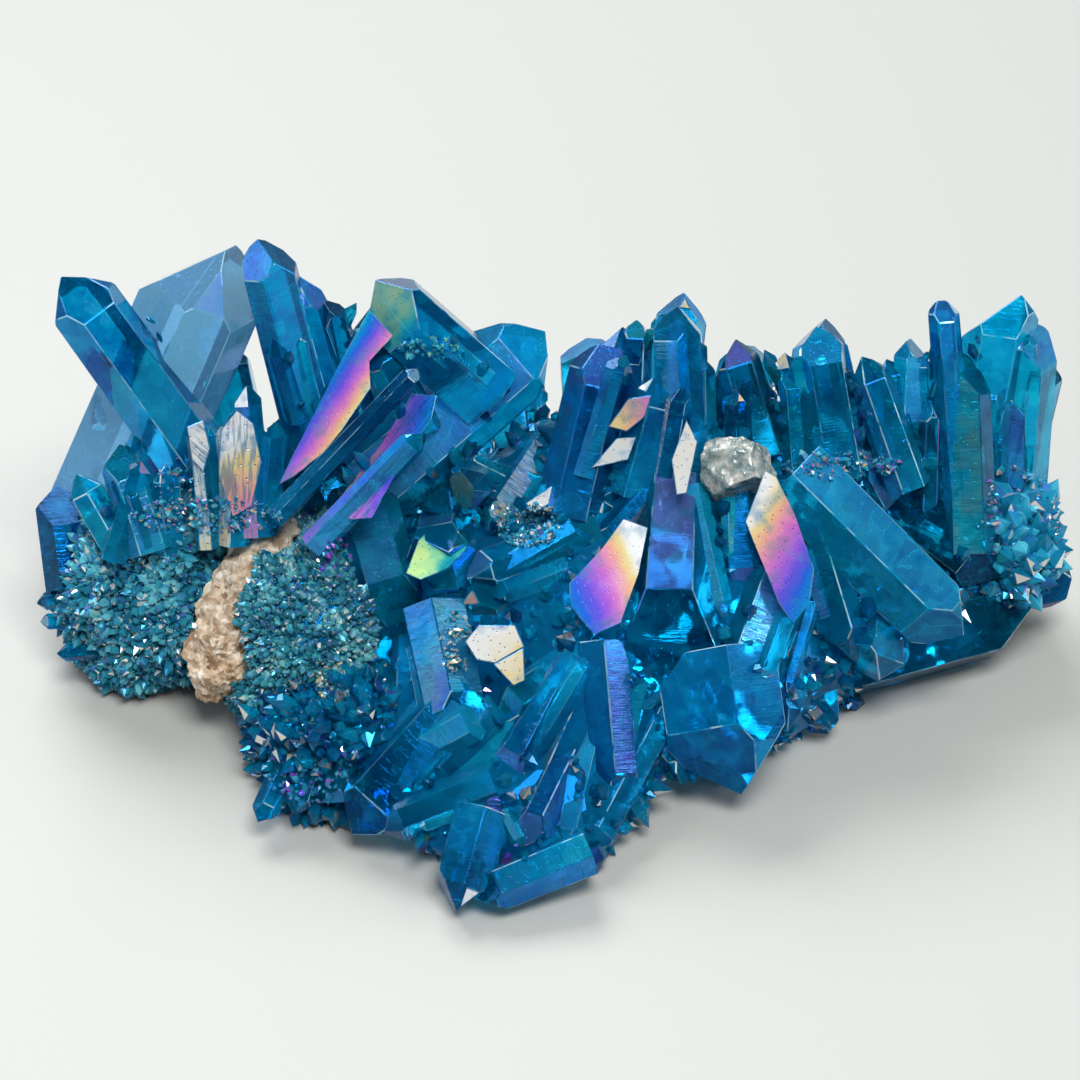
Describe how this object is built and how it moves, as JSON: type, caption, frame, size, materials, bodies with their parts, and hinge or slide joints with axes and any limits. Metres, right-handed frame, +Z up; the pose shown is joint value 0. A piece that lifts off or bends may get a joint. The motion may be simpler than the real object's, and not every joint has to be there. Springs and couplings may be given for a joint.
{
  "type": "aqua aura quartz cluster",
  "caption": "Fan-shaped cluster of six-sided azure coated quartz points on a drusy crust, with a seam of bare tan host stone; rests on a flat cut underside",
  "frame": {"origin": "on the flat cut underside, below the middle of the cluster", "axes": "+X along the cluster's length, +Y to the back, +Z up from the flat underside; the fan of points faces -Y"},
  "size_m": [0.1269, 0.0793, 0.054],
  "materials": {
    "coated_quartz": "glossy, clear blue under a thin iridescent metal film",
    "host_stone": "rough, iron-stained rock"
  },
  "bodies": {
    "root": {"quartz_cluster": "coated_quartz", "matrix_stone": "host_stone"}
  },
  "joints": []
}
